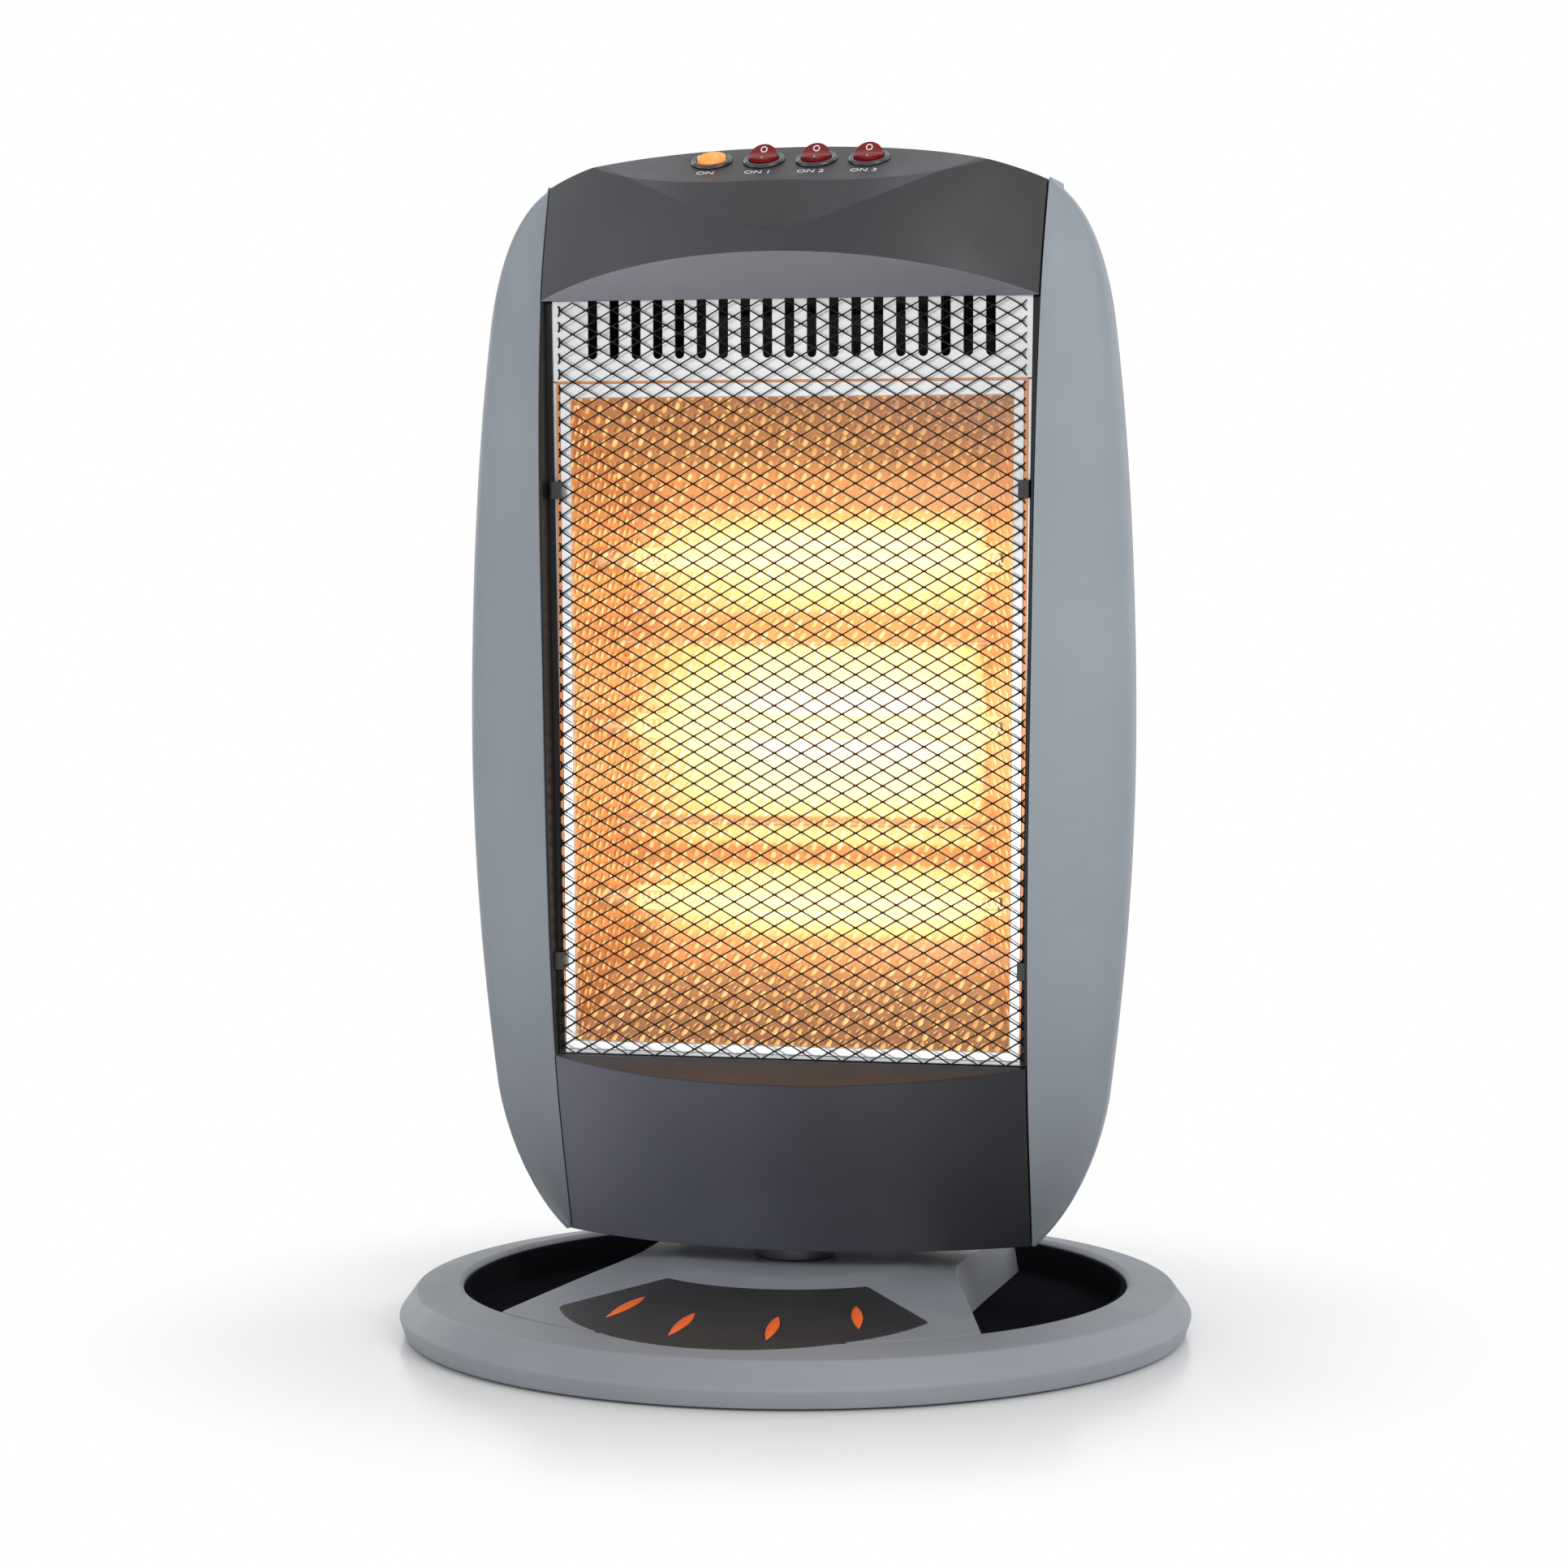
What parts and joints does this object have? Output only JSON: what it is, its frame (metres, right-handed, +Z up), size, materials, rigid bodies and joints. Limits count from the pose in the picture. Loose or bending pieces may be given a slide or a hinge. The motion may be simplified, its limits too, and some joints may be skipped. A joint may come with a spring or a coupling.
{
  "type": "halogen heater",
  "caption": "Free-standing halogen heater: a swinging head with quartz tubes in a ribbed reflector behind a mesh grille, with rocker switches on top, on a round ring base with a bridge.",
  "frame": {"origin": "centre of the round base, at the bottom of its feet", "axes": "+Z up, -Y towards the front grille, +X to the right of a person who looks at the rear"},
  "size_m": [0.33, 0.33, 0.49],
  "materials": {
    "grey_plastic": "satin, fine grain",
    "top_plastic": "satin",
    "bottom_plastic": "satin",
    "rear_plastic": "satin, fine grain",
    "base_floor": "gloss",
    "inlay_plastic": "fine grain",
    "mark_orange": "gloss",
    "foot_rubber": "matt",
    "black_plastic": "satin",
    "frame_steel": "silver, satin",
    "reflector_metal": "bright, dimpled",
    "grille_wire": "black, satin",
    "steel": "satin",
    "galvanised": "zinc coated",
    "quartz": "clear",
    "coil": "glowing",
    "ceramic": "matt",
    "rocker_orange": "gloss, translucent",
    "rocker_red": "gloss, translucent",
    "switch_black": "gloss",
    "nylon": "natural nylon"
  },
  "bodies": {
    "base": {"base_shell": "grey_plastic", "base_plate": "base_floor", "base_inlay": "inlay_plastic", "base_mark_1": "mark_orange", "base_mark_2": "mark_orange", "base_mark_3": "mark_orange", "base_mark_4": "mark_orange", "foot_1": "foot_rubber", "foot_2": "foot_rubber", "foot_3": "foot_rubber", "foot_4": "foot_rubber", "swivel_collar": "black_plastic", "spindle": "steel", "swivel_washer": "nylon", "slotted_arm": "steel", "spindle_nut": "steel"},
    "head": {"swivel_plate": "steel", "bottom_cover": "bottom_plastic", "top_cover": "top_plastic", "rear_cover": "rear_plastic", "side_panel_left": "grey_plastic", "side_panel_right": "grey_plastic", "chassis": "galvanised", "window_frame": "frame_steel", "vent_plate": "frame_steel", "reflector": "reflector_metal", "tube_bracket_left": "galvanised", "tube_bracket_right": "galvanised", "grille": "grille_wire", "motor_bracket": "galvanised", "swing_motor": "steel", "terminal_block": "nylon", "tip_switch": "black_plastic", "thermal_cutout": "steel", "cord_bush": "black_plastic", "switch_body_1": "switch_black", "switch_body_2": "switch_black", "switch_body_3": "switch_black", "switch_body_4": "switch_black", "quartz_tube_1": "quartz", "heating_coil_1": "coil", "tube_cap_left_1": "ceramic", "tube_cap_right_1": "ceramic", "quartz_tube_2": "quartz", "heating_coil_2": "coil", "tube_cap_left_2": "ceramic", "tube_cap_right_2": "ceramic", "quartz_tube_3": "quartz", "heating_coil_3": "coil", "tube_cap_left_3": "ceramic", "tube_cap_right_3": "ceramic", "grille_clip_left_1": "black_plastic", "grille_clip_left_2": "black_plastic", "grille_clip_right_1": "black_plastic", "grille_clip_right_2": "black_plastic"},
    "crank": {"swing_crank": "nylon"},
    "rocker_1": {"switch_rocker_1": "rocker_orange"},
    "rocker_2": {"switch_rocker_2": "rocker_red"},
    "rocker_3": {"switch_rocker_3": "rocker_red"},
    "rocker_4": {"switch_rocker_4": "rocker_red"}
  },
  "joints": [
    {"name": "head_swing", "type": "hinge", "parent": "base", "child": "head", "pos_m": [0, 0, 0.04], "axis": [0, 0, 1], "range_deg": [-35, 35]},
    {"name": "crank_turn", "type": "hinge", "parent": "head", "child": "crank", "pos_m": [0, 0.024, 0.056], "axis": [0, 0, 1], "range_deg": [-105, 105]},
    {"name": "rocker_1_tilt", "type": "hinge", "parent": "head", "child": "rocker_1", "pos_m": [-0.033, -0.00754, 0.48406], "axis": [1, 0, 0], "range_deg": [0, 28]},
    {"name": "rocker_2_tilt", "type": "hinge", "parent": "head", "child": "rocker_2", "pos_m": [-0.011, -0.00754, 0.48406], "axis": [1, 0, 0], "range_deg": [-28, 0]},
    {"name": "rocker_3_tilt", "type": "hinge", "parent": "head", "child": "rocker_3", "pos_m": [0.011, -0.00754, 0.48406], "axis": [1, 0, 0], "range_deg": [-28, 0]},
    {"name": "rocker_4_tilt", "type": "hinge", "parent": "head", "child": "rocker_4", "pos_m": [0.033, -0.00754, 0.48406], "axis": [1, 0, 0], "range_deg": [-28, 0]}
  ],
  "couplings": [
    {"joint": "crank_turn", "follows": "head_swing", "ratio": -3}
  ]
}
